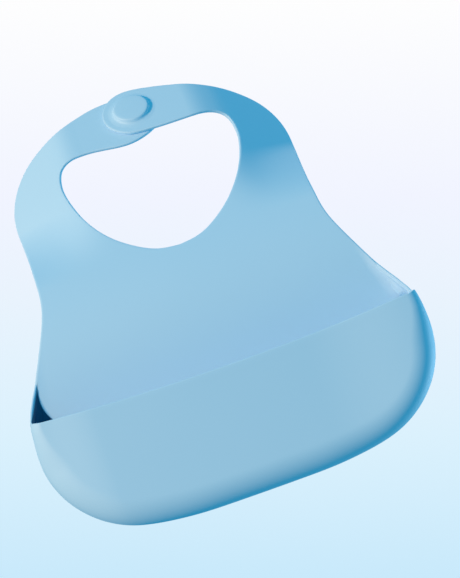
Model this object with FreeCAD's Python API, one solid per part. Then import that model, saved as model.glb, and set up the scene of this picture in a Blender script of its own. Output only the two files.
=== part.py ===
import FreeCAD, Part
import os
import math

# Silicone feeding bib: a chest panel bent back toward the wearer, a catch
# pocket along its lower edge, and two neck straps closed by a moulded
# button and stud.  Millimetres, +Z up, -Y front, +Y toward the wearer.
# The shapes are laid out from the middle of the pocket rim and then moved
# so that the origin is the centre of the neck opening.

os.makedirs("parts", exist_ok=True)

# ---------------------------------------------------------------- dimensions
SHEET_T = 2.2            # thickness of the silicone sheet
BEND_START_Z = 2.0       # the panel is flat below this height
BEND_END_Z = 84.0        # and has its full lean above this one
BEND_ANGLE = 36.0        # lean of the neck region, degrees
SIDE_SLOPE = 0.92        # how fast the shoulders fall back sideways
SIDE_X0, SIDE_X1 = 32.0, 62.0
SIDE_Z0, SIDE_Z1 = 58.0, 120.0

SHOULDER_Z = 104.0       # flex line between panel and straps
END_X = 26.0             # flex line between a strap and its end
LAP_GAP = 0.3            # gap between the two lapped strap ends
LAP_X0, LAP_X1 = 34.0, 50.0

POCKET_DEPTH = 36.0      # front wall to the panel's front face
POCKET_ROUND = 14.0      # rounding between front wall and side walls
RIM_DIP = 4.0            # the rim is this much lower in the middle
GUSSET_TOP = 24.0        # height of the side webs over the rim
GUSSET_SPLIT = 1.0
JOINT_GAP = 0.01         # hairline between the pocket and the panel

BUTTON_X, BUTTON_Z = 0.0, 169.6
BUTTON_BASE_R, BUTTON_BASE_H = 12.6, 1.0
BUTTON_R, BUTTON_H = 10.0, 1.7
STUD_R = 4.0
HOLE_R = 4.4
STUD_REACH = 1.8         # stud length beyond the back of the left strap
SPARE_X, SPARE_Z = 12.2, 167.6
END_CX, END_CZ, END_R = 1.2, 168.2, 19.3

NECK_CENTRE = (0.0, 46.0, 110.0)

# half outline of the bib, right side, (x, z) from the middle of the bottom
OUTER = [(0.0, -76.9), (22.0, -76.8), (38.0, -76.4), (51.0, -75.3), (65.2, -73.2), (77.4, -69.9),
         (87.4, -65.0), (94.3, -60.0), (103.7, -50.0), (109.7, -40.0), (113.2, -30.0), (114.5, -20.0),
         (114.3, -10.0), (113.4, -2.0), (111.6, 4.5), (108.2, 12.0), (103.5, 20.0), (98.4, 30.0),
         (93.8, 40.0), (89.6, 50.0), (86.4, 60.0), (85.1, 70.0), (85.2, 80.0), (86.1, 90.0),
         (87.6, 100.0), (89.1, 110.0), (90.0, 120.0), (89.5, 130.0), (86.7, 140.0), (81.0, 150.0),
         (70.9, 160.0), (62.6, 165.3), (52.0, 170.2), (39.0, 175.2), (25.0, 179.3), (12.0, 182.0),
         (0.0, 183.0)]
# half outline of the neck opening, right side, from the middle of its bottom
NECK_R = [(0.0, 71.6), (12.5, 73.6), (24.6, 80.0), (36.9, 90.6), (44.2, 100.2), (49.5, 110.0),
          (53.3, 120.0), (55.6, 130.0), (55.6, 139.0), (53.0, 146.0), (46.0, 150.4), (36.0, 151.4),
          (20.0, 151.3), (0.0, 151.2)]
# upper left of the opening: the under strap hangs a little lower
NECK_L_TOP = [(55.6, 130.0), (55.3, 139.0), (52.4, 145.6), (46.0, 149.4), (38.0, 150.2), (30.0, 149.9)]
# free end of the left strap, hidden behind the right one
LEFT_TIP = [(-30.0, 149.9), (-18.0, 148.2), (-7.0, 147.2), (5.0, 149.5), (14.0, 154.4), (19.0, 161.0),
            (20.6, 167.4), (18.2, 173.6), (12.0, 177.8), (2.0, 180.2), (-12.0, 180.9), (-25.0, 179.3)]


# ------------------------------------------------------------------- helpers
def smooth(t):
    t = max(0.0, min(1.0, t))
    return t * t * (3.0 - 2.0 * t)


def smooth_area(t):
    a = max(0.0, min(1.0, t))
    return a ** 3 - a ** 4 / 2.0 + max(t - 1.0, 0.0)


STEP = 0.5
LEAN = {}


def lean(z):
    # distance the sheet has moved back at height z
    if z <= BEND_START_Z:
        return 0.0
    key = round(z, 4)
    if key not in LEAN:
        n = max(1, int((z - BEND_START_Z) / STEP))
        h = (z - BEND_START_Z) / n
        total = 0.0
        for i in range(n):
            m = BEND_START_Z + (i + 0.5) * h
            a = math.radians(BEND_ANGLE) * smooth((m - BEND_START_Z) / (BEND_END_Z - BEND_START_Z))
            total += math.tan(a) * h
        LEAN[key] = total
    return LEAN[key]


def fall(x, z):
    w = SIDE_X1 - SIDE_X0
    return SIDE_SLOPE * w * smooth_area((abs(x) - SIDE_X0) / w) * smooth((z - SIDE_Z0) / (SIDE_Z1 - SIDE_Z0))


COS_B = math.cos(math.radians(BEND_ANGLE))
SIN_B = math.sin(math.radians(BEND_ANGLE))
LAP = (SHEET_T + LAP_GAP) / 2.0 / COS_B


def lap(x, side):
    # side 0 panel, +1 right strap (in front), -1 left strap (behind)
    if side == 0:
        return 0.0
    d = x if side > 0 else -x
    return -side * LAP * (1.0 - smooth((d - LAP_X0) / (LAP_X1 - LAP_X0)))


def middle(x, z, side):
    return lean(z) + fall(x, z) + lap(x, side) - SHEET_T / 2.0


def face_y(x, z, side, back):
    e = 0.05
    gx = (middle(x + e, z, side) - middle(x - e, z, side)) / (2 * e)
    gz = (middle(x, z + e, side) - middle(x, z - e, side)) / (2 * e)
    q = math.sqrt(1.0 + gx * gx + gz * gz)
    return middle(x, z, side) + (0.5 if back else -0.5) * SHEET_T * q


def skin(side, back, x0, x1, nx, z0, z1, nz):
    rows = []
    for i in range(nx + 1):
        x = x0 + (x1 - x0) * i / nx
        rows.append([FreeCAD.Vector(x, face_y(x, z0 + (z1 - z0) * j / nz, side, back), z0 + (z1 - z0) * j / nz)
                     for j in range(nz + 1)])
    s = Part.BSplineSurface()
    s.interpolate(rows)
    return s.toShape()


def behind(face):
    return face.extrude(FreeCAD.Vector(0, 400, 0))


def spline(points, closed=False):
    c = Part.BSplineCurve()
    if closed:
        c.interpolate([FreeCAD.Vector(x, 0, z) for x, z in points], PeriodicFlag=True)
    else:
        c.interpolate([FreeCAD.Vector(x, 0, z) for x, z in points])
    return c.toShape()


def loop(half):
    # right half from bottom to top, mirrored down the left side
    pts = list(half) + [(-x, z) for x, z in reversed(half[1:-1])]
    return Part.Wire([spline(pts, closed=True)])


def prism(wire, y0, y1):
    w = wire.copy()
    w.translate(FreeCAD.Vector(0, y0, 0))
    return Part.Face(w).extrude(FreeCAD.Vector(0, y1 - y0, 0))


def box(x0, x1, y0, y1, z0, z1):
    return Part.makeBox(x1 - x0, y1 - y0, z1 - z0, FreeCAD.Vector(x0, y0, z0))


def inset(points, d):
    # closed list of points moved inward by d
    n = len(points)
    area = sum(points[i][0] * points[(i + 1) % n][1] - points[(i + 1) % n][0] * points[i][1] for i in range(n))
    sgn = 1.0 if area > 0 else -1.0
    out = []
    for i in range(n):
        ax, az = points[i - 1]
        bx, bz = points[(i + 1) % n]
        tx, tz = bx - ax, bz - az
        length = math.hypot(tx, tz)
        out.append((points[i][0] - sgn * tz / length * d, points[i][1] + sgn * tx / length * d))
    return out


def bowl(points, d0, depth, radius):
    # closed outline swept forward with its front edge rounded
    sections = [(3.0, 0.0), (-(depth - radius) * 0.5, 0.0), (-(depth - radius), 0.0)]
    for a in (22.5, 45.0, 67.5, 90.0):
        r = math.radians(a)
        sections.append((-(depth - radius) - radius * math.sin(r), radius * (1 - math.cos(r))))
    wires = []
    for y, d in sections:
        pts = inset(points, d0 + d) if d0 + d > 0 else points
        c = Part.BSplineCurve()
        c.interpolate([FreeCAD.Vector(px, y - SHEET_T, pz) for px, pz in pts], PeriodicFlag=True)
        wires.append(Part.Wire([c.toShape()]))
    return Part.makeLoft(wires, True, False)


def one(shape, name):
    solids = sorted(shape.Solids, key=lambda s: -s.Volume)
    if not solids:
        raise RuntimeError("no solid for " + name)
    if len(solids) > 1:
        print(name, "solids", [round(s.Volume, 3) for s in solids])
    return solids[0]


NODES = {}


def keep(name, shape):
    s = one(shape, name)
    s.translate(FreeCAD.Vector(-NECK_CENTRE[0], -NECK_CENTRE[1], -NECK_CENTRE[2]))
    s.exportStep(os.path.join("parts", name + ".step"))
    NODES[name] = s
    b = s.BoundBox
    print(name, "vol", round(s.Volume, 1), "valid", s.isValid(),
          [round(v, 1) for v in (b.XMin, b.XMax, b.YMin, b.YMax, b.ZMin, b.ZMax)])


# ------------------------------------------------------------- sheet regions
outer_wire = loop(OUTER)
neck_wire = loop(NECK_R)
outline = prism(outer_wire, -40.0, 220.0)
opening = prism(neck_wire, -60.0, 240.0)

panel_front = skin(0, False, -130.0, 130.0, 26, -95.0, 125.0, 22)
panel_back = skin(0, True, -130.0, 130.0, 26, -95.0, 125.0, 22)
behind_panel = behind(panel_front)
panel_slab = behind_panel.cut(behind(panel_back))

right_slab = behind(skin(1, False, -28.0, 112.0, 28, 94.0, 194.0, 20)).cut(
    behind(skin(1, True, -28.0, 112.0, 28, 94.0, 194.0, 20)))
left_slab = behind(skin(-1, False, -112.0, 28.0, 28, 94.0, 194.0, 20)).cut(
    behind(skin(-1, True, -112.0, 28.0, 28, 94.0, 194.0, 20)))

# chest panel, with the pocket's back wall in one piece with it
bent = outline.cut(opening).common(box(-200, 200, -50, 230, BEND_START_Z, SHOULDER_Z)).common(panel_slab)
flat = prism(outer_wire, -SHEET_T, 0.0).common(box(-200, 200, -50, 230, -120, BEND_START_Z))
panel = flat.fuse(bent)

# shoulder straps
strap_r = outline.cut(opening).common(box(END_X, 200, -50, 230, SHOULDER_Z, 260)).common(right_slab)
neck_l_pts = ([(0.0, 71.6), (12.5, 73.6), (24.6, 80.0), (36.9, 90.6), (44.2, 100.2), (49.5, 110.0), (53.3, 120.0)]
              + NECK_L_TOP + [(18.0, 148.2), (0.0, 147.6)])
opening_l = prism(loop(neck_l_pts), -60.0, 240.0)
strap_l = outline.cut(opening_l).common(box(-200, -END_X, -50, 230, SHOULDER_Z, 260)).common(left_slab)

# right strap end: the band up to a round end
disc = Part.Wire([Part.Ellipse(FreeCAD.Vector(END_CX, 0, END_CZ), END_R, END_R * COS_B).toShape()])
disc.rotate(FreeCAD.Vector(END_CX, 0, END_CZ), FreeCAD.Vector(1, 0, 0), 90)
band = outline.cut(opening).common(box(END_CX, END_X, -50, 230, SHOULDER_Z, 260))
end_r = band.fuse(prism(disc, -40.0, 220.0).common(box(-60, END_X, -50, 230, 120, 260))).common(right_slab)
end_r = end_r.removeSplitter()

# left strap end, passing behind the right one
tip = Part.Wire([spline(LEFT_TIP + [(-34.0, 176.5), (-38.0, 164.0), (-35.0, 152.0)], closed=True)])
tip_clip = outline.cut(opening_l).common(box(-60, -END_X + 0.0, -50, 230, 120, 260))
end_l = prism(tip, -40.0, 220.0).common(box(-END_X, 60, -50, 230, 120, 260)).common(left_slab)

# ------------------------------------------------------------------- closure
front_n = FreeCAD.Vector(0, -COS_B, SIN_B)


def on_face(x, z, side, back):
    return FreeCAD.Vector(x, face_y(x, z, side, back), z)


seat = on_face(BUTTON_X, BUTTON_Z, 1, False)
base = Part.makeCylinder(BUTTON_BASE_R, BUTTON_BASE_H, seat, front_n)
cap = Part.makeCylinder(BUTTON_R, BUTTON_BASE_H + BUTTON_H, seat, front_n)
button = base.fuse(cap)
rims = [e for e in button.Edges if hasattr(e.Curve, "Radius")
        and (e.CenterOfMass - seat).dot(front_n) > 0.9 * BUTTON_BASE_H
        and not (abs(e.Curve.Radius - BUTTON_R) < 0.01 and (e.CenterOfMass - seat).dot(front_n) < BUTTON_BASE_H + 0.3)]
button = button.makeFillet(0.7, rims)

root = on_face(BUTTON_X, BUTTON_Z, 1, True)
stud_len = LAP_GAP + SHEET_T + STUD_REACH
stud = Part.makeCylinder(STUD_R, stud_len, root, front_n * -1.0)
tip_edges = [e for e in stud.Edges if hasattr(e.Curve, "Radius") and (e.CenterOfMass - root).Length > stud_len * 0.9]
stud = stud.makeFillet(1.2, tip_edges)

for hx, hz in ((BUTTON_X, BUTTON_Z), (SPARE_X, SPARE_Z)):
    c = on_face(hx, hz, -1, False)
    end_l = end_l.cut(Part.makeCylinder(HOLE_R, 20.0, c + front_n * 10.0, front_n * -1.0))

# -------------------------------------------------------------------- pocket
low = [p for p in OUTER if p[1] < 24.0] + [(101.0, 30.0), (100.0, 42.0), (92.0, 54.0), (60.0, 58.0), (30.0, 58.5),
                                          (0.0, 58.6)]
ring = low + [(-x, z) for x, z in reversed(low[1:-1])]
shell = bowl(ring, 0.0, POCKET_DEPTH, POCKET_ROUND).cut(
    bowl(ring, SHEET_T, POCKET_DEPTH - SHEET_T, POCKET_ROUND - SHEET_T))

profile = [(-90.0, 120.0), (-90.0, 0.0), (-30.0, 0.0)]
curve = [(-30.0, 0.0), (-24.0, 0.5), (-17.0, 3.0), (-10.5, 8.5), (-5.0, 16.5), (-1.0, GUSSET_TOP), (4.0, GUSSET_TOP + 9.0)]
pc = Part.BSplineCurve()
pc.interpolate([FreeCAD.Vector(-160, y, z) for y, z in curve])
lines = [Part.makeLine(FreeCAD.Vector(-160, *profile[i]), FreeCAD.Vector(-160, *profile[i + 1])) for i in range(2)]
close = [Part.makeLine(FreeCAD.Vector(-160, *curve[-1]), FreeCAD.Vector(-160, 4.0, 120.0)),
         Part.makeLine(FreeCAD.Vector(-160, 4.0, 120.0), FreeCAD.Vector(-160, *profile[0]))]
above = Part.Face(Part.Wire(lines + [pc.toShape()] + close)).extrude(FreeCAD.Vector(320, 0, 0))

dip_pts = [(-125.0 + 25.0 * i, -RIM_DIP * max(0.0, 1.0 - ((-125.0 + 25.0 * i) / 112.0) ** 2)) for i in range(11)]
dip = Part.Wire([spline(dip_pts), Part.makeLine(FreeCAD.Vector(125, 0, dip_pts[-1][1]), FreeCAD.Vector(125, 0, 90)),
                 Part.makeLine(FreeCAD.Vector(125, 0, 90), FreeCAD.Vector(-125, 0, 90)),
                 Part.makeLine(FreeCAD.Vector(-125, 0, 90), FreeCAD.Vector(-125, 0, dip_pts[0][1]))])
dip_cut = prism(dip, -90.0, -26.0)

above_bend = behind_panel.common(box(-200, 200, -60, 60, BEND_START_Z, 120))
above_bend.translate(FreeCAD.Vector(0, -JOINT_GAP, 0))
rear = above_bend.fuse(box(-200, 200, -SHEET_T - JOINT_GAP, 60, -120, BEND_START_Z))
shell = shell.cut(above).cut(dip_cut).cut(rear)
pocket = shell.common(box(-200, 200, -100, 60, -120, GUSSET_SPLIT))
gusset_l = shell.common(box(-200, 0, -100, 60, GUSSET_SPLIT, 80))
gusset_r = shell.common(box(0, 200, -100, 60, GUSSET_SPLIT, 80))

# -------------------------------------------------------------------- export
keep("chest_panel", panel)
keep("catch_pocket", pocket)
keep("left_pocket_gusset", gusset_l)
keep("right_pocket_gusset", gusset_r)
keep("left_shoulder_strap", strap_l)
keep("right_shoulder_strap", strap_r)
keep("left_strap_end", end_l)
keep("right_strap_end", end_r)
keep("snap_button", button)
keep("snap_stud", stud)

# points that the hinges pass through
zs = SHOULDER_Z
xr = 67.0
yr = face_y(xr, zs, 1, False)
mr = (face_y(xr + 0.5, zs, 1, False) - face_y(xr - 0.5, zs, 1, False))
print("right strap axis", [round(v, 4) for v in (xr - NECK_CENTRE[0], yr - NECK_CENTRE[1], zs - NECK_CENTRE[2])],
      "dir", round(1 / math.hypot(1, mr), 5), round(mr / math.hypot(1, mr), 5))
xa, xb = -46.0, -88.6
ya, yb = face_y(xa, zs, -1, True), face_y(xb, zs, -1, True)
ln = math.hypot(xb - xa, yb - ya)
print("left strap axis", [round(v, 4) for v in ((xa + xb) / 2, (ya + yb) / 2 - NECK_CENTRE[1], zs - NECK_CENTRE[2])],
      "dir", round((xb - xa) / ln, 5), round((yb - ya) / ln, 5))
pr = on_face(END_X, 166.0, 1, False)
pl = on_face(-END_X, 165.0, -1, True)
print("right end axis", [round(v, 4) for v in (pr.x, pr.y - NECK_CENTRE[1], pr.z - NECK_CENTRE[2])], "dir", round(SIN_B, 5), round(COS_B, 5))
print("left end axis", [round(v, 4) for v in (pl.x, pl.y - NECK_CENTRE[1], pl.z - NECK_CENTRE[2])])
print("middle at neck centre", middle(0, 110, 0), "flat back", face_y(0, -35, 0, True))
names = sorted(NODES)
for i, a in enumerate(names):
    for b in names[i + 1:]:
        if NODES[a].BoundBox.intersect(NODES[b].BoundBox):
            v = NODES[a].common(NODES[b]).Volume
            if v > 0.001:
                print("overlap", a, b, round(v, 4))
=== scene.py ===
import math

import bpy
import numpy as np
from mathutils import Matrix, Vector


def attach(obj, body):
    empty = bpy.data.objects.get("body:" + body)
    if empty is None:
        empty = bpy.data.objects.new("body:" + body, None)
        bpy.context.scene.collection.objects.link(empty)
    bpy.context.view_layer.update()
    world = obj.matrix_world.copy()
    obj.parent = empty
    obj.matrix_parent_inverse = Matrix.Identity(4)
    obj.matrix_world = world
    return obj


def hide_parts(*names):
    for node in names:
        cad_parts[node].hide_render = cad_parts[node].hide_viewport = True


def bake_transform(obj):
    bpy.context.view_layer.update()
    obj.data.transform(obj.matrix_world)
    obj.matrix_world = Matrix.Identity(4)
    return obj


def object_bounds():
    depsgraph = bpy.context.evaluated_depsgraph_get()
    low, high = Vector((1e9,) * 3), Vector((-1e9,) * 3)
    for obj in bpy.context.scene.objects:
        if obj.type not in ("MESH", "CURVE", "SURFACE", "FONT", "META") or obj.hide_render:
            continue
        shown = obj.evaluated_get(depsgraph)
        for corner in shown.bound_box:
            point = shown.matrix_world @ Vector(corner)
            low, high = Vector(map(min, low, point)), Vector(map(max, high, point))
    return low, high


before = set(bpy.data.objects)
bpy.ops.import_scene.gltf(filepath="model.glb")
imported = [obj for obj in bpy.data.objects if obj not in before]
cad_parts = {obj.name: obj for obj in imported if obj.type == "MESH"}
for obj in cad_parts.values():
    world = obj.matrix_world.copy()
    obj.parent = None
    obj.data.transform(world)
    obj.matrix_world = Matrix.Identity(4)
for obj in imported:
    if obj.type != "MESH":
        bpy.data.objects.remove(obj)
cad_lo, cad_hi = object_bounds()
lo0, hi0 = [list(map(float, v)) for v in (cad_lo, cad_hi)]

# ------------------------------------------------------------------ sizes
# millimetres from the middle of the pocket rim; NECK moves them to the row frame
T = 2.2
R = T / 2.0
NECK = np.array([0.0, 46.0, 110.0])
Z1, Z2, BEND = 2.0, 84.0, math.radians(36.0)
XA, XB, ZA, ZB, SLOPE = 32.0, 62.0, 72.0, 119.0, 1.0
LAP = (T + 0.3) / 2.0 / math.cos(BEND)
LAP0, LAP1 = 34.0, 50.0
COSB, SINB = math.cos(BEND), math.sin(BEND)

OUTER = [(0.0, -76.9), (22.0, -76.8), (38.0, -76.4), (51.0, -75.3), (65.2, -73.2), (77.4, -69.9),
         (87.4, -65.0), (94.3, -60.0), (103.7, -50.0), (109.7, -40.0), (113.2, -30.0), (114.5, -20.0),
         (114.3, -10.0), (113.4, -2.0), (111.6, 4.5), (108.2, 12.0), (103.5, 20.0), (98.4, 30.0),
         (93.8, 40.0), (89.6, 50.0), (86.4, 60.0), (85.1, 70.0), (85.2, 80.0), (86.1, 90.0),
         (87.6, 100.0), (89.1, 110.0), (90.0, 120.0), (89.5, 130.0), (86.7, 140.0), (81.0, 150.0),
         (70.9, 160.0), (62.6, 165.3), (52.0, 170.2), (39.0, 175.2), (25.0, 179.3), (12.0, 182.0),
         (0.0, 183.0)]
NECK_IN = [(0.0, 71.6), (12.5, 73.6), (24.6, 80.0), (36.9, 90.6), (44.2, 100.2), (49.5, 110.0),
           (53.3, 120.0), (55.6, 130.0), (55.6, 139.0), (53.0, 146.0), (46.0, 150.4), (36.0, 151.4),
           (20.0, 151.3), (8.0, 151.2)]
NECK_IN_L = NECK_IN[:8] + [(55.3, 139.0), (52.4, 145.6), (46.0, 149.4), (38.0, 150.2), (30.0, 149.9), (18.0, 148.2)]


# ---------------------------------------------------------------- the sheet
def sm(t):
    t = np.clip(t, 0.0, 1.0)
    return t * t * (3.0 - 2.0 * t)


def sm_area(t):
    a = np.clip(t, 0.0, 1.0)
    return a ** 3 - a ** 4 / 2.0 + np.maximum(t - 1.0, 0.0)


_zz = np.linspace(-200.0, 400.0, 12001)
_tan = np.tan(BEND * sm((_zz - Z1) / (Z2 - Z1)))
_lean = np.concatenate([[0.0], np.cumsum(0.5 * (_tan[1:] + _tan[:-1]) * np.diff(_zz))])


def edge_shift(z):
    """How far the outer edge sits to the right of the drawn outline."""
    return np.interp(z, [-10.0, 10.0, 25.0, 85.0, 110.0, 150.0, 160.0, 172.0], [0.7, 0.2, -0.8, -0.8, 0.1, 0.1, -0.4, 0.0])


def neck_shift(z):
    return 1.65 * sm((z - 85.0) / 45.0)


CURL_W = 13.0


def curl(x, z):
    """The panel's side edges turn forward where the pocket's ends start, the right one more."""
    edge = np.interp(z, _ez, _ex) + np.sign(x) * edge_shift(z)
    w = CURL_W * (1.0 - 0.72 * sm(z / 38.0))
    t = np.clip(1.0 - (edge - np.abs(x)) / w, 0.0, 1.0)
    slope = np.where(x > 0, 0.68, 0.12) * sm((z + 3.0) / 8.0) * (1.0 - sm((z - 16.0) / 26.0))
    return 0.5 * slope * w * t * t


def mid_y(x, z, side):
    y = np.interp(z, _zz, _lean)
    if side == 0:
        y = y - curl(x, z)
    w = XB - XA
    y = y + SLOPE * w * sm_area((np.abs(x) - XA) / w) * sm((z - ZA) / (ZB - ZA))
    if side:
        d = x if side > 0 else -x
        y = y - side * LAP * (1.0 - sm((d - LAP0) / (LAP1 - LAP0))) * sm((z - 104.0) / 30.0)
    return y - R


def sheet_point(x, z, side):
    """Middle of the sheet and its front normal."""
    e = 0.02
    y = mid_y(x, z, side)
    fx = (mid_y(x + e, z, side) - mid_y(x - e, z, side)) / (2 * e)
    fz = (mid_y(x, z + e, side) - mid_y(x, z - e, side)) / (2 * e)
    n = np.stack([fx, -np.ones_like(fx), fz], -1)
    n /= np.linalg.norm(n, axis=-1, keepdims=True)
    return np.stack([x, y, z], -1), n


# ------------------------------------------------------------------ splines
def cubic(points, closed=False, per=40):
    """Dense, evenly spaced points on a cubic spline through the given ones."""
    p = np.array(points, float)
    if closed:
        p = np.vstack([p[-3:], p, p[:4]])
    d = np.concatenate([[0.0], np.cumsum(np.sqrt(np.linalg.norm(np.diff(p, axis=0), axis=1)) ** 2)])
    n = len(p)
    h = np.diff(d)
    a = np.zeros((n, n))
    rhs = np.zeros((n, p.shape[1]))
    a[0, 0] = a[-1, -1] = 1.0
    for i in range(1, n - 1):
        a[i, i - 1], a[i, i], a[i, i + 1] = h[i - 1], 2 * (h[i - 1] + h[i]), h[i]
        rhs[i] = 6 * ((p[i + 1] - p[i]) / h[i] - (p[i] - p[i - 1]) / h[i - 1])
    m = np.linalg.solve(a, rhs)
    out = []
    first, last = (3, n - 4) if closed else (0, n - 1)
    for i in range(first, last):
        t = np.linspace(0, h[i], per, endpoint=False)[:, None]
        out.append(m[i] * (h[i] - t) ** 3 / (6 * h[i]) + m[i + 1] * t ** 3 / (6 * h[i])
                   + (p[i] / h[i] - m[i] * h[i] / 6) * (h[i] - t) + (p[i + 1] / h[i] - m[i + 1] * h[i] / 6) * t)
    if not closed:
        out.append(p[-1:][:])
    return np.vstack(out)


def arc(p):
    return np.concatenate([[0.0], np.cumsum(np.linalg.norm(np.diff(p, axis=0), axis=1))])


def along(p, s):
    """Points on polyline p at arc lengths s."""
    d = arc(p)
    return np.stack([np.interp(s, d, p[:, k]) for k in range(p.shape[1])], -1)


def even(p, n, bias=None):
    total = arc(p)[-1]
    f = np.linspace(0, 1, n) if bias is None else bias
    return along(p, f * total)


def inset(p, d, left=True):
    """Open polyline moved sideways by d, to its left or its right."""
    t = np.gradient(p, axis=0)
    t /= np.linalg.norm(t, axis=1, keepdims=True)
    nrm = np.stack([-t[:, 1], t[:, 0]], -1)
    return p + nrm * (d if left else -d)


def cut_at(p, axis, value, keep_below, near=None):
    """The part of polyline p up to where coordinate axis crosses value."""
    for i in range(len(p) - 1):
        a, b = p[i, axis], p[i + 1, axis]
        if (a - value) * (b - value) <= 0 and a != b:
            if near is not None and not near(p[i]):
                continue
            f = (value - a) / (b - a)
            x = p[i] + f * (p[i + 1] - p[i])
            return (np.vstack([p[:i + 1], x]) if keep_below else np.vstack([x, p[i + 1:]]))
    raise ValueError("no crossing")


def mirror(p):
    q = p.copy()
    q[:, 0] *= -1
    return q


# ---------------------------------------------------------- mesh of a strip
def to_frame(p):
    return (np.asarray(p) - NECK) * 0.001


def make_object(name, verts, faces, sharp=()):
    me = bpy.data.meshes.new(name)
    me.from_pydata([tuple(v) for v in verts], [], [tuple(f) for f in faces])
    me.validate()
    ob = bpy.data.objects.new(name, me)
    bpy.context.scene.collection.objects.link(ob)
    import bmesh
    bm = bmesh.new()
    bm.from_mesh(me)
    bmesh.ops.remove_doubles(bm, verts=bm.verts, dist=2e-6)
    bmesh.ops.dissolve_degenerate(bm, dist=1e-7, edges=bm.edges)
    extra = [f for e in bm.edges if len(e.link_faces) > 2 for f in e.link_faces if f.calc_area() < 1e-9]
    if extra:
        bmesh.ops.delete(bm, geom=list(set(extra)), context="FACES")
    for _ in range(3):
        rim = [e for e in bm.edges if e.is_boundary]
        if not rim:
            break
        bmesh.ops.holes_fill(bm, edges=rim, sides=0)
    bmesh.ops.recalc_face_normals(bm, faces=bm.faces)
    if bm.calc_volume(signed=True) < 0:
        bmesh.ops.reverse_faces(bm, faces=bm.faces)
    for e in bm.edges:
        if len(e.link_faces) == 2 and e.calc_face_angle(0.0) > math.radians(38):
            e.smooth = False
    for f in bm.faces:
        f.smooth = True
    bm.to_mesh(me)
    bm.free()
    me.update()
    return ob


def tangents(curve, pts):
    """Direction of a dense curve where each point lies on it."""
    g = np.gradient(curve, axis=0)
    out = []
    for q in pts:
        i = int(np.argmin(((curve - q) ** 2).sum(1)))
        out.append(g[i])
    return np.array(out)


def strip(name, low, high, side, nv, curves, cap0=True, cap1=True, power=1.0, tip=False):
    """A sheet piece between two matching boundary lines (already inset by R), with round edges."""
    nu = len(low)
    f = np.linspace(0, 1, nv)
    f = 0.5 - 0.5 * np.cos(np.pi * f) if power == 1.0 else f
    f = 0.35 * f + 0.65 * np.linspace(0, 1, nv)
    grid = low[:, None, :] * (1 - f)[None, :, None] + high[:, None, :] * f[None, :, None]
    p, n = sheet_point(grid[..., 0], grid[..., 1], side)
    verts, faces = [], []
    idx = {}

    def put(key, v):
        idx[key] = len(verts)
        verts.append(v)

    for i in range(nu):
        for j in range(nv):
            put(("f", i, j), p[i, j] + R * n[i, j])
            put(("b", i, j), p[i, j] - R * n[i, j])
    K = 7
    saved = None
    for j, sgn in ((0, 1), (nv - 1, -1)):
        line = p[:, j]
        t2 = tangents(curves[0 if j == 0 else 1], line[:, [0, 2]])
        nj = n[:, j]
        t = np.stack([t2[:, 0], -(nj[:, 0] * t2[:, 0] + nj[:, 2] * t2[:, 1]) / nj[:, 1], t2[:, 1]], -1)
        t /= np.maximum(np.linalg.norm(t, axis=1, keepdims=True), 1e-9)
        b = np.cross(n[:, j], t)
        inward = p[:, 1] - p[:, 0] if j == 0 else p[:, nv - 2] - p[:, nv - 1]
        flip = np.sign(-(b * inward).sum(1))
        flip[flip == 0] = np.median(flip)
        flip = np.where(np.abs((b * inward).sum(1)) < 1e-6, np.median(flip), flip)
        b = b * flip[:, None]
        if tip:
            if saved is None:
                b[-1] = b[-1] / np.linalg.norm(b[-1])
                saved = b[-1]
            b[-1] = saved
        for i in range(nu):
            for k in range(K + 1):
                a = math.pi / 2 - math.pi * k / K
                if k == 0:
                    idx[("r", j, i, k)] = idx[("f", i, j)]
                elif k == K:
                    idx[("r", j, i, k)] = idx[("b", i, j)]
                else:
                    ca, sa = math.cos(a) ** (0.6 if a > -0.1 else 1.3), math.copysign(abs(math.sin(a)) ** 0.6, math.sin(a))
                    put(("r", j, i, k), line[i] + R * (ca * b[i] + sa * n[i, j]))
    for i in range(nu - 1):
        for j in range(nv - 1):
            faces.append((idx[("f", i, j)], idx[("f", i + 1, j)], idx[("f", i + 1, j + 1)], idx[("f", i, j + 1)]))
            faces.append((idx[("b", i, j + 1)], idx[("b", i + 1, j + 1)], idx[("b", i + 1, j)], idx[("b", i, j)]))
        for j in (0, nv - 1):
            for k in range(K):
                q = (idx[("r", j, i, k)], idx[("r", j, i + 1, k)], idx[("r", j, i + 1, k + 1)], idx[("r", j, i, k + 1)])
                faces.append(q if j else q[::-1])
    for i, on in ((0, cap0), (nu - 1, cap1)):
        if not on:
            continue
        loop = [idx[("f", i, j)] for j in range(nv)] + [idx[("r", nv - 1, i, k)] for k in range(1, K)] \
            + [idx[("b", i, j)] for j in range(nv - 1, -1, -1)] + [idx[("r", 0, i, k)] for k in range(K - 1, 0, -1)]
        for j in range(nv - 1):
            q = (idx[("f", i, j)], idx[("f", i, j + 1)], idx[("b", i, j + 1)], idx[("b", i, j)])
            faces.append(q if i == 0 else q[::-1])
        for j in (0, nv - 1):
            q = [idx[("r", j, i, k)] for k in range(K + 1)]
            faces.append(q if (j == 0) == (i == 0) else q[::-1])
    return make_object(name, to_frame(np.array(verts)), faces)


# ---------------------------------------------------------------- outlines
OUT = cubic(OUTER)                 # right half, bottom to top
INN = cubic(NECK_IN)
INN_L = cubic(NECK_IN_L)
_k = (OUT[:, 1] > -14.0) & (OUT[:, 1] < 125.0) & (OUT[:, 0] > 60.0)
_ez, _ex = OUT[_k, 1], OUT[_k, 0]
OUT_I = inset(OUT, R, True)        # bottom to top on the right side: inside is on the left
INN_I = inset(INN, R, False)       # sheet is outside the neck line, on its right
INN_LI = inset(INN_L, R, False)



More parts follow.
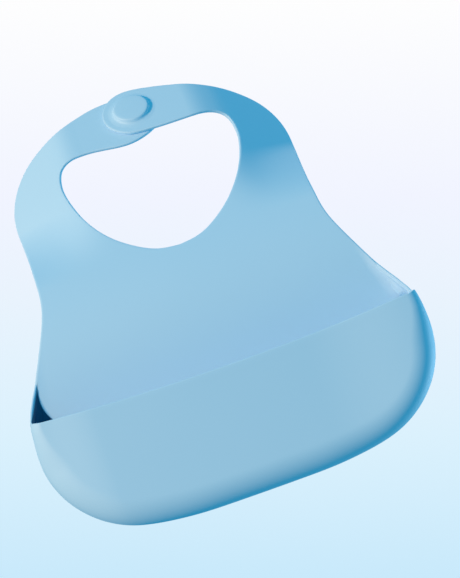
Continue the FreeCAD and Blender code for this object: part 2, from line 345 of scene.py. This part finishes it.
def shifted(p, sgn, by):
    """A right-half outline as it sits on the right (1) or, mirrored, on the left (-1)."""
    q = p.copy()
    q[:, 0] += sgn * by(q[:, 1])
    if sgn > 0 and by is edge_shift:
        q[:, 0] -= 0.9 * sm(q[:, 1] / 9.0) * (1.0 - sm((q[:, 1] - 12.0) / 16.0))
    return q


OUT_S = {g: shifted(OUT_I, g, edge_shift) for g in (1, -1)}
OUT_F = {g: shifted(OUT, g, edge_shift) for g in (1, -1)}
INN_S = {g: shifted(INN_I, g, neck_shift) for g in (1, -1)}
INN_LS = shifted(INN_LI, -1, neck_shift)

Z_SEAM = 96.0
X_SEAM = 33.0
right_out = {g: cut_at(OUT_S[g], 1, Z_SEAM, True, lambda q: q[0] > 60) for g in (1, -1)}
right_in = {g: cut_at(INN_S[g], 1, Z_SEAM, True) for g in (1, -1)}

# chest panel: from the left shoulder round the bottom to the right one
NU = 361
fu = np.linspace(-1, 1, NU)
pan_out, pan_in = [], []
for f in fu:
    s = 1 if f >= 0 else -1
    a = abs(f)
    o = along(right_out[s], np.array([a * arc(right_out[s])[-1]]))[0]
    q = along(right_in[s], np.array([a * arc(right_in[s])[-1]]))[0]
    pan_out.append((s * o[0], o[1]))
    pan_in.append((s * q[0], q[1]))
both_in = np.vstack([mirror(INN_S[-1])[::-1], INN_S[1][1:]])
both_out = np.vstack([mirror(OUT_S[-1])[::-1], OUT_S[1][1:]])
panel = strip("bib_chest_panel", np.array(pan_in), np.array(pan_out), 0, 110, (both_in, both_out))

# straps
strap_pieces = {}
for side, inn in ((1, INN_S[1]), (-1, INN_LS)):
    o = cut_at(cut_at(OUT_S[side], 1, Z_SEAM, False, lambda q: q[0] > 60), 0, X_SEAM, True, lambda q: q[1] > 120)
    i = cut_at(cut_at(inn, 1, Z_SEAM, False), 0, X_SEAM, True, lambda q: q[1] > 120)
    n = 200
    o, i = even(o, n), even(i, n)
    cv = (inn, OUT_S[side])
    if side < 0:
        o, i, cv = mirror(o), mirror(i), (mirror(inn), mirror(OUT_S[side]))
    strap_pieces[side] = strip("shoulder_strap_right" if side > 0 else "shoulder_strap_left", i, o, side, 44, cv)

# right end: band and round end
cx, cz, cr = 1.2, 168.2, 19.3
ang = np.radians(np.linspace(0, 180, 81))
lower = [(x, z) for x, z in cut_at(INN[::1], 0, X_SEAM, False, lambda q: q[1] > 120)]
upper = [(x, z) for x, z in cut_at(OUT, 0, X_SEAM, False, lambda q: q[1] > 120)]
LOWER = cubic([(X_SEAM + 3, 151.45), (X_SEAM, 151.42), (26.0, 151.4), (18.0, 151.5), (9.0, 151.8), (1.6, 152.4),
               (-4.2, 153.4), (-9.6, 156.1), (-13.8, 160.0), (-16.3, 164.2), (-17.0, 168.6)])
UPPER = cubic([(36.0, 176.25), (X_SEAM, 177.1), (25.0, 179.45), (16.0, 181.7), (8.0, 183.3), (1.0, 183.9),
               (-5.6, 182.9), (-11.1, 180.0), (-14.9, 175.8), (-16.7, 171.8), (-17.0, 168.6)])


def end_strip(name, lo, hi, side, n, nv):
    lo, hi = inset(lo, R, side < 0), inset(hi, R, side > 0)
    cv = (lo, hi)
    near = (lambda q: True)
    xs = X_SEAM * side
    lo = cut_at(lo, 0, xs, False, near)
    hi = cut_at(hi, 0, xs, False, near)
    f = np.linspace(0, 1, n)
    f = 1 - (1 - f) ** 1.6
    lo, hi = even(lo, n, f), even(hi, n, f)
    m = 0.5 * (lo[-1] + hi[-1])
    lo[-1] = hi[-1] = m
    return strip(name, lo, hi, side, nv, cv, cap1=False, tip=True)


right_end = end_strip("strap_end_right", LOWER, UPPER, 1, 120, 40)
LOW_L = cubic([(-36.0, 150.25), (-X_SEAM, 150.15), (-30.0, 149.95), (-18.0, 148.2), (-7.0, 147.2), (5.0, 149.5),
               (14.0, 154.4), (19.0, 161.0), (20.6, 167.0)])
UPP_L = cubic([(-36.0, 176.25), (-X_SEAM, 177.1), (-25.0, 179.3), (-12.0, 180.9), (2.0, 180.2), (12.0, 177.8),
               (18.2, 173.6), (20.6, 167.0)])
left_end = end_strip("strap_end_left", LOW_L, UPP_L, -1, 120, 40)

# holes in the under strap
def drill(ob, spots):
    import bmesh
    me = bpy.data.meshes.new("cutter")
    bm = bmesh.new()
    for x, z, r in spots:
        c, n = sheet_point(np.array(x), np.array(z), -1)
        at = Matrix.Translation(Vector(to_frame(c))) @ Vector(n).to_track_quat("Z", "Y").to_matrix().to_4x4()
        bmesh.ops.create_cone(bm, cap_ends=True, segments=64, radius1=r * 0.001, radius2=r * 0.001, depth=0.010, matrix=at)
    bm.to_mesh(me)
    bm.free()
    cut = bpy.data.objects.new("cutter", me)
    bpy.context.scene.collection.objects.link(cut)
    m = ob.modifiers.new("hole", "BOOLEAN")
    m.operation = "DIFFERENCE"
    m.solver = "MANIFOLD"
    m.object = cut
    bpy.context.view_layer.update()
    dg = bpy.context.evaluated_depsgraph_get()
    new = bpy.data.meshes.new_from_object(ob.evaluated_get(dg))
    ob.modifiers.remove(m)
    ob.data = new
    bpy.data.objects.remove(cut)


drill(left_end, ((0.0, 169.6, 4.4), (12.2, 167.6, 4.4)))

# ------------------------------------------------------------------- pocket
DEPTH, ROUND = 36.0, 15.0
GUSSET = 23.0
FILLET, RIM_T = 4.0, 1.3
ROUND_RIM = 6.5                                              # the rounding is tighter at the rim
half = {g: cut_at(OUT_F[g], 1, GUSSET, True, lambda q: q[0] > 90) for g in (1, -1)}   # bottom to web top
path = np.vstack([mirror(half[-1])[::-1], half[1][1:]])     # left web top, bottom, right web top
L = arc(path)[-1]
# arc length from each web top to where the rim level is met
drop = {g: arc(half[g])[-1] - arc(cut_at(half[g], 1, 0.0, True, lambda q: q[0] > 90))[-1] for g in (1, -1)}
D1 = DEPTH - ROUND_RIM
D2 = D1 + ROUND_RIM * math.pi / 2
# free edge of a web: height over the rim against distance forward
edge_d = np.array([0.0, 1.5, 2.6, 4.4, 6.8, 8.8, 10.7, 14.0, 19.0, 26.0, 33.0, D2])
edge_a = np.array([0.0, 0.18, 0.365, 0.55, 0.74, 0.86, 0.92, 0.965, 0.985, 0.995, 0.999, 1.0]) * drop[1]
fine = np.linspace(0, D2, 400)
ea = np.interp(fine, edge_d, edge_a)
for _ in range(60):
    ea[1:-1] = 0.25 * ea[:-2] + 0.5 * ea[1:-1] + 0.25 * ea[2:]
NW = 70
web_s = np.linspace(0, 1, NW) ** 1.0
el = np.concatenate([[0], np.cumsum(np.hypot(np.diff(fine), np.diff(ea)))])
wd = np.interp(web_s * el[-1], el, fine)
wa = np.interp(web_s * el[-1], el, ea)
NM = 300
mid_a = np.linspace(drop[-1], L - drop[1], NM + 1)
near = np.minimum(mid_a - drop[-1], L - drop[1] - mid_a)[1:-1]
r_mid = ROUND_RIM + (ROUND - ROUND_RIM) * sm(near / 34.0)
a_cols = np.concatenate([wa * drop[-1] / drop[1], mid_a[1:-1], (L - wa)[::-1]])
d_cols = np.concatenate([wd, DEPTH - r_mid + r_mid * math.pi / 2, wd[::-1]])
r_cols = np.concatenate([np.full(NW, ROUND_RIM), r_mid, np.full(NW, ROUND_RIM)])
NC = len(a_cols)
lean_cols = np.concatenate([np.full(NW, 1.0), 1.0 - sm(near / 55.0), np.full(NW, 1.0)])
lean_cols *= np.where(np.arange(NC) < NC // 2, 2.0, 2.4)
base = along(path, a_cols)
tan = along(path, a_cols + 0.4) - along(path, a_cols - 0.4)
tan /= np.linalg.norm(tan, axis=1, keepdims=True)
inn_dir = np.stack([-tan[:, 1], tan[:, 0]], -1)              # left of travel: inside
c0 = curl(base[:, 0], base[:, 1])
y0 = mid_y(base[:, 0], base[:, 1], 0) + c0


def profile(d, r=ROUND, depth=DEPTH):
    """Forward distance and inset of a point d along the wall's profile."""
    d1 = depth - r
    t = np.clip((d - d1) / r, 0, math.pi / 2)
    fwd = np.where(d < d1, d, d1 + r * np.sin(t))
    ins = np.where(d < d1, 0.0, r * (1 - np.cos(t)))
    return fwd, ins


NVW = 60
rows = []
for k in range(NVW + 1):
    d = d_cols * k / NVW
    fwd, ins = profile(d, r_cols)
    q = base + inn_dir * (ins + lean_cols * np.clip(fwd / 30.0, 0, 1) ** 1.3)[:, None]
    rows.append(np.stack([q[:, 0], y0 - c0 - fwd * (1 - c0 / DEPTH), q[:, 1]], -1))
wall = np.array(rows)                                        # (NVW+1, NC, 3)
# front face between the rounding and the rim
i0, i1 = NW - 1, NC - NW
B = wall[-1, i0:i1 + 1]
rim_x = np.linspace(B[0, 0], B[-1, 0], len(B))
rim_x = 0.5 * rim_x + 0.5 * (B[0, 0] + (B[-1, 0] - B[0, 0]) * sm(np.linspace(0, 1, len(B))))
rim_z = B[0, 2] - 4.0 * (1 - np.clip(np.abs(rim_x) / abs(B[0, 0]), 0, 1) ** 2.2)
BULGE = 2.2
NF = 50
front = []
for k in range(1, NF + 1):
    f = k / NF
    x = B[:, 0] * (1 - f) + rim_x * f
    z = B[:, 2] * (1 - f) + rim_z * f
    # fullness term, multiplied by zero, so no fullness is added
    fx = np.clip(1 - (x / B[-1, 0]) ** 2, 0, 1)
    fz = sm(f / 0.6)
    front.append(np.stack([x, B[:, 1] - 0.0 * fx * fz, z], -1))
front = np.array(front)
# the front wall swells forward towards its right end
for g in (wall, front):
    g[..., 1] -= (3.9 * sm((g[..., 0] - 42.0) / 64.0) ** 1.3 - 3.0 * (1.0 - sm((g[..., 0] + 112.0) / 36.0))) \
        * sm((-g[..., 1] - 10.0) / 26.0)


def two_skins(name):
    verts, faces = [], []
    vid = {}

    def add(v):
        verts.append(v)
        return len(verts) - 1

    # outer vertex ids
    O = -np.ones((NVW + 1 + NF, NC), int)
    for k in range(NVW + 1):
        for c in range(NC):
            O[k, c] = add(wall[k, c])
    for k in range(NF):
        for c in range(i0, i1 + 1):
            O[NVW + 1 + k, c] = add(front[k, c - i0])
    V = np.array(verts)
    quads = []
    for k in range(NVW):
        for c in range(NC - 1):
            quads.append((O[k, c], O[k, c + 1], O[k + 1, c + 1], O[k + 1, c]))
    for k in range(NVW, NVW + NF):
        for c in range(i0, i1):
            quads.append((O[k, c], O[k, c + 1], O[k + 1, c + 1], O[k + 1, c]))
    # weld and normals
    key = {}
    remap = np.arange(len(V))
    for i, v in enumerate(np.round(V, 4)):
        t = tuple(v)
        if t in key:
            remap[i] = key[t]
        else:
            key[t] = i
    nrm = np.zeros_like(V)
    for q in quads:
        q = [remap[i] for i in q]
        a, b, c, d = (V[i] for i in q)
        m = np.cross(c - a, d - b)
        for i in q:
            nrm[i] += m
    ln = np.linalg.norm(nrm, axis=1, keepdims=True)
    nrm = nrm / np.maximum(ln, 1e-12)
    nrm = nrm[remap]
    # outward: on the front face it is -y
    ref = nrm[O[NVW + 20, (i0 + i1) // 2]]
    if ref[1] > 0:
        nrm = -nrm
    thick = np.full(len(V), T)
    for c in range(NC):
        span = max(d_cols[c] - R - 0.15, 0.0)
        rf = min(FILLET, 0.8 * span)
        for k in range(NVW + 1):
            dd = min(max(d_cols[c] * k / NVW - R - 0.15, 0.0), rf)
            add_t = rf - math.sqrt(max(rf * rf - (rf - dd) ** 2, 0.0))
            i = O[k, c]
            thick[i] = T + add_t
            if c < i0 or c > i1:
                thick[i] -= (T - RIM_T) * float(sm((k / NVW - 0.8) / 0.2))
    for k in range(NF):
        for c in range(i0, i1 + 1):
            thick[O[NVW + 1 + k, c]] = T - (T - RIM_T) * float(sm(((k + 1) / NF - 0.86) / 0.14))
    inner = V - thick[:, None] * nrm
    n0 = len(verts)
    allv = np.vstack([V, inner])
    for q in quads:
        faces.append(q)
        faces.append(tuple(n0 + i for i in q[::-1]))
    # free edge, left web top to right web top
    edge = [O[NVW, c] for c in range(0, i0)] + [O[NVW + NF, c] for c in range(i0, i1 + 1)] \
        + [O[NVW, c] for c in range(i1 + 1, NC)]
    P = V[edge]
    RR = 0.5 * thick[edge][:, None]
    tg = np.gradient(P, axis=0)
    tg /= np.maximum(np.linalg.norm(tg, axis=1, keepdims=True), 1e-9)
    nn = nrm[edge]
    up = np.cross(tg, nn)
    up *= np.sign(np.median(up[len(up) // 2 - 20:len(up) // 2 + 20, 2]))
    up /= np.maximum(np.linalg.norm(up, axis=1, keepdims=True), 1e-9)
    K = 6
    ring = [[e for e in edge]]
    extra = []
    for k in range(1, K):
        a = math.pi * k / K
        pts = P - RR * nn + RR * (math.cos(a) * nn + math.sin(a) * up * 0.7)
        ids = []
        for v in pts:
            ids.append(len(allv) + len(extra))
            extra.append(v)
        ring.append(ids)
    ring.append([n0 + e for e in edge])
    for k in range(K):
        for c in range(len(edge) - 1):
            faces.append((ring[k][c], ring[k][c + 1], ring[k + 1][c + 1], ring[k + 1][c])[::-1])
    # back edge, against the panel, and the two web tops
    for c in range(NC - 1):
        faces.append((O[0, c], O[0, c + 1], n0 + O[0, c + 1], n0 + O[0, c])[::-1])
    allv = np.vstack([allv, np.array(extra)])
    return make_object(name, to_frame(allv), faces)


pocket = two_skins("bib_pocket")

# ------------------------------------------------------------------- button
def lathe(name, prof, origin, normal, seg=96):
    """Closed turned shape: prof is (radius, height) from the axis at the top to the axis at the bottom."""
    zq = Vector(normal).to_track_quat("Z", "Y").to_matrix()
    verts, faces = [], []
    rings = []
    for r, h in prof:
        if r < 1e-6:
            rings.append([len(verts)])
            verts.append(origin + np.array(zq @ Vector((0, 0, h))))
        else:
            ids = []
            for s in range(seg):
                a = 2 * math.pi * s / seg
                ids.append(len(verts))
                verts.append(origin + np.array(zq @ Vector((r * math.cos(a), r * math.sin(a), h))))
            rings.append(ids)
    for a, b in zip(rings[:-1], rings[1:]):
        for s in range(seg):
            t = (s + 1) % seg
            if len(a) == 1:
                faces.append((a[0], b[s], b[t]))
            elif len(b) == 1:
                faces.append((a[s], b[0], a[t]))
            else:
                faces.append((a[s], b[s], b[t], a[t]))
    return make_object(name, to_frame(np.array(verts)), faces)


def smooth_profile(points, per=10):
    return [tuple(v) for v in cubic(points, per=per)]


pm, pn = sheet_point(np.array(1.6), np.array(168.5), 1)
seat = pm + R * pn
prof = [(0.0, 3.1), (4.0, 3.1), (8.9, 3.08)] + smooth_profile(
    [(9.9, 3.02), (10.7, 2.8), (11.15, 2.3), (11.4, 1.7), (11.7, 1.1), (12.2, 0.62), (13.1, 0.3), (14.3, 0.1), (15.4, -0.03)], 6) \
    + [(15.4, -0.5), (0.0, -0.5)]
button = lathe("snap_button_cap", prof, seat, pn)
pm, pn = sheet_point(np.array(0.0), np.array(169.6), 1)
root = pm - R * pn
prof = [(0.0, 0.4), (4.0, 0.4), (4.0, -2.4)] + smooth_profile([(4.0, -2.5), (4.28, -2.9), (4.3, -3.4), (3.9, -4.0), (3.0, -4.35)], 5) \
    + [(0.0, -4.45)]
stud = lathe("snap_stud_post", prof, root, pn)


# ---------------------------------------------------------------- materials
def node_math(nt, op, a, b=None, clamp=False):
    n = nt.nodes.new("ShaderNodeMath")
    n.operation = op
    n.use_clamp = clamp
    for i, v in enumerate((a, b)):
        if v is None:
            continue
        if isinstance(v, (int, float)):
            n.inputs[i].default_value = v
        else:
            nt.links.new(v, n.inputs[i])
    return n.outputs[0]


def painted_corner_shade(nt, tc):
    """Mask for painted shade: 1 in the deep fold inside the pocket's left end, where the base colour is painted
    near-black navy as the web's shadow, 0 elsewhere.
    """
    sx = nt.nodes.new("ShaderNodeSeparateXYZ")
    nt.links.new(tc.outputs["Object"], sx.inputs[0])
    x, y, z = sx.outputs[0], sx.outputs[1], sx.outputs[2]
    geo = nt.nodes.new("ShaderNodeNewGeometry")
    face = nt.nodes.new("ShaderNodeVectorMath")
    face.operation = "DOT_PRODUCT"
    nt.links.new(geo.outputs["True Normal"], face.inputs[0])
    face.inputs[1].default_value = (0.8, -0.6, 0.0)
    def ramp_(v, lo, hi):
        """0 below lo, 1 above hi; falls instead where lo is above hi."""
        return node_math(nt, "DIVIDE", node_math(nt, "SUBTRACT", v, lo), hi - lo, clamp=True)

    zz = lambda v: float(to_frame(np.array([0.0, 0.0, v]))[2])
    yy = lambda v: float(to_frame(np.array([0.0, v, 0.0]))[1])
    # the fold's inner boundary is a curve across the panel, its outer one the web's free edge
    h = node_math(nt, "SUBTRACT", z, zz(10.5))
    hl = node_math(nt, "MAXIMUM", node_math(nt, "MINIMUM", h, 0.0), -0.0115)
    hu = node_math(nt, "MAXIMUM", h, 0.0)
    bend = node_math(nt, "ADD", node_math(nt, "MULTIPLY", node_math(nt, "MULTIPLY", hl, hl), 31.0),
                     node_math(nt, "MULTIPLY", node_math(nt, "MULTIPLY", hu, hu), 16.0))
    inner = node_math(nt, "SUBTRACT", bend, node_math(nt, "ADD", x, 0.10315))
    outer = node_math(nt, "ADD", node_math(nt, "ADD", x, 0.1129), node_math(nt, "MULTIPLY", node_math(nt, "SUBTRACT", z, zz(0.0)), -0.47))
    m = node_math(nt, "MULTIPLY", ramp_(inner, 0.0, 0.0007), ramp_(outer, 0.0006, 0.0016))
    m = node_math(nt, "MULTIPLY", m, ramp_(z, zz(23.0), zz(20.0)))
    m = node_math(nt, "MULTIPLY", m, ramp_(z, zz(-34.0), zz(-5.0)))
    m = node_math(nt, "MULTIPLY", m, ramp_(y, yy(-34.5), yy(-32.0)))
    m = node_math(nt, "MULTIPLY", m, ramp_(face.outputs["Value"], 0.48, 0.55))
    return m


def silicone(name, seed):
    mat = bpy.data.materials.new(name)
    mat.use_nodes = True
    nt = mat.node_tree
    nt.nodes.clear()
    out = nt.nodes.new("ShaderNodeOutputMaterial")
    bsdf = nt.nodes.new("ShaderNodeBsdfPrincipled")
    nt.links.new(bsdf.outputs[0], out.inputs[0])
    tc = nt.nodes.new("ShaderNodeTexCoord")
    big = nt.nodes.new("ShaderNodeTexNoise")
    big.inputs["Scale"].default_value = 9.0
    big.inputs["Detail"].default_value = 2.0
    nt.links.new(tc.outputs["Object"], big.inputs["Vector"])
    ramp = nt.nodes.new("ShaderNodeMix")
    ramp.data_type = "RGBA"
    nt.links.new(big.outputs["Fac"], ramp.inputs["Factor"])
    ramp.inputs[6].default_value = (0.475, 0.705, 0.84, 1)
    ramp.inputs[7].default_value = (0.505, 0.725, 0.855, 1)
    # painted shade: the base colour turns near-black navy in the pocket's left inner corner, standing in for the web's
    # cast shadow and deep occlusion
    corner_shade_mask = painted_corner_shade(nt, tc)
    shade_mix = nt.nodes.new("ShaderNodeMix")
    shade_mix.data_type = "RGBA"
    nt.links.new(corner_shade_mask, shade_mix.inputs["Factor"])
    nt.links.new(ramp.outputs[2], shade_mix.inputs[6])
    # painted shadow colour for that corner
    shade_mix.inputs[7].default_value = (0.004, 0.07, 0.15, 1)
    nt.links.new(shade_mix.outputs[2], bsdf.inputs["Base Color"])
    # painted glow: a faint blue emission stands in for light scattered inside the translucent silicone and for sky
    # light that hollows would lose; it is nearly off in the painted-shade corner
    painted_glow = nt.nodes.new("ShaderNodeMix")
    painted_glow.data_type = "RGBA"
    nt.links.new(corner_shade_mask, painted_glow.inputs["Factor"])
    painted_glow.inputs[6].default_value = (0.002, 0.048, 0.092, 1)
    painted_glow.inputs[7].default_value = (0.0, 0.0022, 0.0045, 1)
    nt.links.new(painted_glow.outputs[2], bsdf.inputs["Emission Color"])
    bsdf.inputs["Emission Strength"].default_value = 1.0
    fine = nt.nodes.new("ShaderNodeTexNoise")
    fine.inputs["Scale"].default_value = 260.0
    fine.inputs["Detail"].default_value = 1.0
    nt.links.new(tc.outputs["Object"], fine.inputs["Vector"])
    rr = nt.nodes.new("ShaderNodeMapRange")
    rr.inputs["To Min"].default_value = 0.50
    rr.inputs["To Max"].default_value = 0.62
    nt.links.new(big.outputs["Fac"], rr.inputs["Value"])
    nt.links.new(rr.outputs[0], bsdf.inputs["Roughness"])
    bump = nt.nodes.new("ShaderNodeBump")
    bump.inputs["Strength"].default_value = 0.05
    bump.inputs["Distance"].default_value = 0.0001
    nt.links.new(fine.outputs["Fac"], bump.inputs["Height"])
    nt.links.new(bump.outputs[0], bsdf.inputs["Normal"])
    bsdf.inputs["Specular IOR Level"].default_value = 0.45
    bsdf.inputs["Sheen Weight"].default_value = 0.12
    bsdf.inputs["Sheen Roughness"].default_value = 0.45
    bsdf.inputs["Sheen Tint"].default_value = (0.85, 0.94, 1.0, 1)
    return mat


mat = silicone("silicone_blue", 1)
for ob in (panel, pocket, strap_pieces[1], strap_pieces[-1], right_end, left_end, button, stud):
    ob.data.materials.clear()
    ob.data.materials.append(mat)

# ------------------------------------------------------------ riding bodies
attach(panel, "bib")
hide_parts("chest_panel")
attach(pocket, "bib")
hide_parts("catch_pocket", "left_pocket_gusset", "right_pocket_gusset")


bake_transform(strap_pieces[1])
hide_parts("right_shoulder_strap")
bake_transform(strap_pieces[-1])
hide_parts("left_shoulder_strap")
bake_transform(right_end)
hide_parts("right_strap_end")
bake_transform(left_end)
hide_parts("left_strap_end")
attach(button, "right_end")
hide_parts("snap_button")
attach(stud, "right_end")
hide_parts("snap_stud")

# ------------------------------------------------------------------- camera
ROLL, YAW, EL, DIST, PXMM = math.radians(19.5), math.radians(-3.0), math.radians(-5.0), 950.0, 1.80
d = np.array([math.sin(YAW) * math.cos(EL), -math.cos(YAW) * math.cos(EL), math.sin(EL)])
fwd = -d
r0 = np.array([math.cos(YAW), math.sin(YAW), 0.0])
up0 = np.cross(r0, fwd)
rgt = math.cos(ROLL) * r0 - math.sin(ROLL) * up0
up = math.sin(ROLL) * r0 + math.cos(ROLL) * up0
F = PXMM * DIST
target, px = np.array([0.0, -12.0, 0.0]), (221.8, 358.6)
loc = target - (fwd + (px[0] - 230.0) / F * rgt - (px[1] - 289.0) / F * up) * DIST
cam_data = bpy.data.cameras.new("camera")
cam = bpy.data.objects.new("camera", cam_data)
bpy.context.scene.collection.objects.link(cam)
m = Matrix.Identity(4)
for i in range(3):
    m[i][0], m[i][1], m[i][2] = rgt[i], up[i], d[i]
    m[i][3] = to_frame(loc)[i]
cam.matrix_world = m
cam_data.sensor_width = 36.0
cam_data.lens = F / 578.0 * 36.0
cam_data.clip_start, cam_data.clip_end = 0.05, 100.0
bpy.context.scene.camera = cam

# ----------------------------------------------------------------- lighting
world = bpy.data.worlds.new("studio")
bpy.context.scene.world = world
world.use_nodes = True
nt = world.node_tree
nt.nodes.clear()
wo = nt.nodes.new("ShaderNodeOutputWorld")
bg_l = nt.nodes.new("ShaderNodeBackground")
bg_l.inputs["Color"].default_value = (0.045, 0.40, 0.62, 1)
bg_c = nt.nodes.new("ShaderNodeBackground")
tc = nt.nodes.new("ShaderNodeTexCoord")
dot = nt.nodes.new("ShaderNodeVectorMath")
dot.operation = "DOT_PRODUCT"
dot.inputs[1].default_value = tuple(up)
nt.links.new(tc.outputs["Generated"], dot.inputs[0])
# the sky light is stronger from above
sky = nt.nodes.new("ShaderNodeSeparateXYZ")
nt.links.new(tc.outputs["Generated"], sky.inputs[0])
sky_r = nt.nodes.new("ShaderNodeMapRange")
sky_r.inputs["From Min"].default_value = -0.8
sky_r.inputs["From Max"].default_value = 0.8
sky_r.inputs["To Min"].default_value = 0.62
sky_r.inputs["To Max"].default_value = 1.0
nt.links.new(sky.outputs[2], sky_r.inputs["Value"])
nt.links.new(sky_r.outputs[0], bg_l.inputs["Strength"])
ramp = nt.nodes.new("ShaderNodeValToRGB")
mr = nt.nodes.new("ShaderNodeMapRange")
half_v = 289.0 / F
mr.inputs["From Min"].default_value = -half_v
mr.inputs["From Max"].default_value = half_v
nt.links.new(dot.outputs["Value"], mr.inputs["Value"])
nt.links.new(mr.outputs[0], ramp.inputs[0])


def lin(c):
    return tuple((v / 255 / 12.92) if v / 255 <= 0.04045 else ((v / 255 + 0.055) / 1.055) ** 2.4 for v in c) + (1.0,)


stops = [(0.0, (200, 233, 251)), (0.25, (219, 241, 253)), (0.48, (233, 243, 253)), (0.66, (241, 244, 255)), (1.0, (254, 254, 254))]
cr_ = ramp.color_ramp
cr_.elements[0].position, cr_.elements[0].color = stops[0][0], lin(stops[0][1])
cr_.elements[1].position, cr_.elements[1].color = stops[-1][0], lin(stops[-1][1])
for p_, c_ in stops[1:-1]:
    e_ = cr_.elements.new(p_)
    e_.color = lin(c_)
nt.links.new(ramp.outputs[0], bg_c.inputs["Color"])
lp = nt.nodes.new("ShaderNodeLightPath")
mix = nt.nodes.new("ShaderNodeMixShader")
nt.links.new(lp.outputs["Is Camera Ray"], mix.inputs[0])
nt.links.new(bg_l.outputs[0], mix.inputs[1])
nt.links.new(bg_c.outputs[0], mix.inputs[2])
nt.links.new(mix.outputs[0], wo.inputs[0])


def area(name, direction, dist, size, power, color):
    """Soft light standing off in a direction given along the camera's right, up and toward-camera axes."""
    v = direction[0] * rgt + direction[1] * up + direction[2] * d
    v = Vector(v / np.linalg.norm(v))
    ld = bpy.data.lights.new(name, "AREA")
    ld.shape = "DISK"
    ld.size = size
    ld.energy = power
    ld.color = color
    ob = bpy.data.objects.new(name, ld)
    bpy.context.scene.collection.objects.link(ob)
    centre = Vector(to_frame(np.array([0, 20, 50.0])))
    ob.location = centre + v * dist
    ob.rotation_mode = "QUATERNION"
    ob.rotation_quaternion = v.to_track_quat("Z", "Y")
    return ob


area("key", (-0.79, 0.07, 0.61), 3.0, 0.41, 82.0, (1.0, 0.65, 0.42))
area("rim", (1.0, -0.14, -0.62), 1.5, 0.9, 11.0, (0.56, 0.8, 0.96))
area("back", (-0.5, 0.1, -1.0), 2.2, 1.0, 6.0, (1.0, 0.72, 0.5))
area("top", (0.25, 0.62, -0.74), 1.5, 0.4, 1.5, (1.0, 0.85, 0.72))

# pale floor, well below the bib and outside the main view
import bmesh
bm = bmesh.new()
bmesh.ops.create_grid(bm, x_segments=1, y_segments=1, size=2.6)
fm = bpy.data.meshes.new("floor")
bm.to_mesh(fm)
bm.free()
floor = bpy.data.objects.new("floor", fm)
bpy.context.scene.collection.objects.link(floor)
floor.location = (0.0, 0.0, lo0[2] - 0.42)
fmat = bpy.data.materials.new("floor_pale")
fmat.use_nodes = True
ft = fmat.node_tree
fb = ft.nodes["Principled BSDF"]
fb.inputs["Base Color"].default_value = (0.0, 0.0, 0.0, 1)
fb.inputs["Roughness"].default_value = 0.9
fb.inputs["Specular IOR Level"].default_value = 0.0
fb.inputs["Emission Color"].default_value = (0.62, 0.76, 0.88, 1)
fb.inputs["Emission Strength"].default_value = 1.0
ftc = ft.nodes.new("ShaderNodeTexCoord")
fl = ft.nodes.new("ShaderNodeVectorMath")
fl.operation = "LENGTH"
ft.links.new(ftc.outputs["Object"], fl.inputs[0])
fr = ft.nodes.new("ShaderNodeMapRange")
fr.interpolation_type = "SMOOTHSTEP"
fr.inputs["From Min"].default_value, fr.inputs["From Max"].default_value = 0.6, 2.3
fr.inputs["To Min"].default_value, fr.inputs["To Max"].default_value = 1.0, 0.0
ft.links.new(fl.outputs["Value"], fr.inputs["Value"])
ft.links.new(fr.outputs[0], fb.inputs["Alpha"])
fm.materials.append(fmat)
floor.visible_diffuse = floor.visible_glossy = floor.visible_shadow = False

sc = bpy.context.scene
sc.view_settings.view_transform = "Standard"
sc.view_settings.look = "None"
sc.view_settings.exposure = 0.0
sc.view_settings.gamma = 1.0
